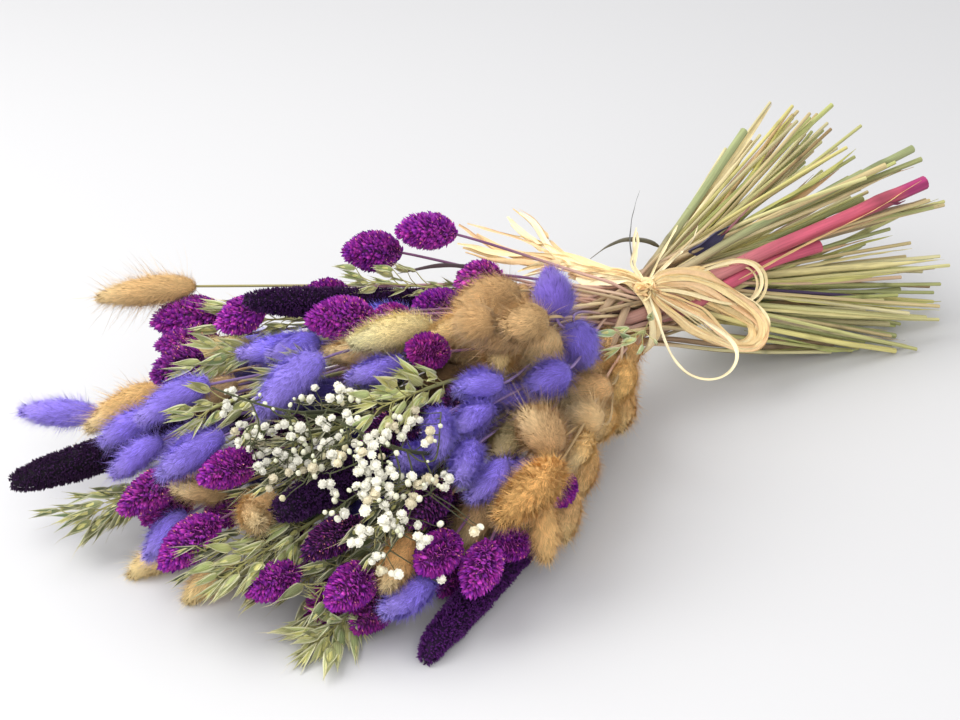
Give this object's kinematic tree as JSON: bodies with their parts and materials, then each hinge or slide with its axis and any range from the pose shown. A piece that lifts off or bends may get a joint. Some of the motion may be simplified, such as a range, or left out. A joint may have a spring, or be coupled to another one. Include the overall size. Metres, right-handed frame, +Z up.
{
  "type": "tied bunch of mixed dried flowers",
  "caption": "Hand-tied bunch of mixed dried bunny tails, canary grass, oats, dark spikes and gypsophila with a raffia bow, lying on its side.",
  "frame": {"origin": "middle of the bunch's footprint, on the surface it lies on", "axes": "+X from the flower heads along the bunch to the cut ends, +Z up, +Y across"},
  "size_m": [0.5736, 0.3006, 0.1312],
  "materials": {
    "natural_bunny_tail": "soft dry grass fur, natural tan, on a thin straw-green stem",
    "violet_bunny_tail": "soft dry grass fur dyed violet, on a thin straw-green stem",
    "canary_grass": "dry papery scales dyed magenta purple, matt with a slight sheen",
    "dark_spike": "dense tufted spike dyed dark aubergine, matt, on a thick stem",
    "oat": "dry papery husks, pale green, finely veined",
    "gypsophila": "small dry papery flowers, warm white, on thin green branches",
    "raffia": "dry palm fibre ribbon, pale straw, satin along the fibre"
  },
  "bodies": {
    "root": {"canary_grass_01": "canary_grass", "canary_grass_02": "canary_grass", "canary_grass_03": "canary_grass", "canary_grass_04": "canary_grass", "canary_grass_05": "canary_grass", "canary_grass_06": "canary_grass", "canary_grass_07": "canary_grass", "canary_grass_08": "canary_grass", "canary_grass_09": "canary_grass", "canary_grass_10": "canary_grass", "canary_grass_11": "canary_grass", "canary_grass_12": "canary_grass", "canary_grass_13": "canary_grass", "canary_grass_14": "canary_grass", "canary_grass_15": "canary_grass", "dark_spike_01": "dark_spike", "dark_spike_02": "dark_spike", "dark_spike_03": "dark_spike", "dark_spike_04": "dark_spike", "gypsophila_01": "gypsophila", "gypsophila_02": "gypsophila", "natural_bunny_tail_01": "natural_bunny_tail", "natural_bunny_tail_02": "natural_bunny_tail", "natural_bunny_tail_03": "natural_bunny_tail", "natural_bunny_tail_04": "natural_bunny_tail", "natural_bunny_tail_05": "natural_bunny_tail", "natural_bunny_tail_06": "natural_bunny_tail", "natural_bunny_tail_07": "natural_bunny_tail", "natural_bunny_tail_08": "natural_bunny_tail", "natural_bunny_tail_09": "natural_bunny_tail", "natural_bunny_tail_10": "natural_bunny_tail", "natural_bunny_tail_11": "natural_bunny_tail", "natural_bunny_tail_12": "natural_bunny_tail", "natural_bunny_tail_13": "natural_bunny_tail", "natural_bunny_tail_14": "natural_bunny_tail", "natural_bunny_tail_15": "natural_bunny_tail", "natural_bunny_tail_16": "natural_bunny_tail", "natural_bunny_tail_17": "natural_bunny_tail", "oat_stalk_01": "oat", "oat_stalk_02": "oat", "oat_stalk_03": "oat", "oat_stalk_04": "oat", "oat_stalk_05": "oat", "oat_stalk_06": "oat", "raffia_band": "raffia", "raffia_bow": "raffia", "violet_bunny_tail_01": "violet_bunny_tail", "violet_bunny_tail_02": "violet_bunny_tail", "violet_bunny_tail_03": "violet_bunny_tail", "violet_bunny_tail_04": "violet_bunny_tail", "violet_bunny_tail_05": "violet_bunny_tail", "violet_bunny_tail_06": "violet_bunny_tail", "violet_bunny_tail_07": "violet_bunny_tail", "violet_bunny_tail_08": "violet_bunny_tail", "violet_bunny_tail_09": "violet_bunny_tail", "violet_bunny_tail_10": "violet_bunny_tail", "violet_bunny_tail_11": "violet_bunny_tail", "violet_bunny_tail_12": "violet_bunny_tail", "violet_bunny_tail_13": "violet_bunny_tail", "violet_bunny_tail_14": "violet_bunny_tail"}
  },
  "joints": []
}
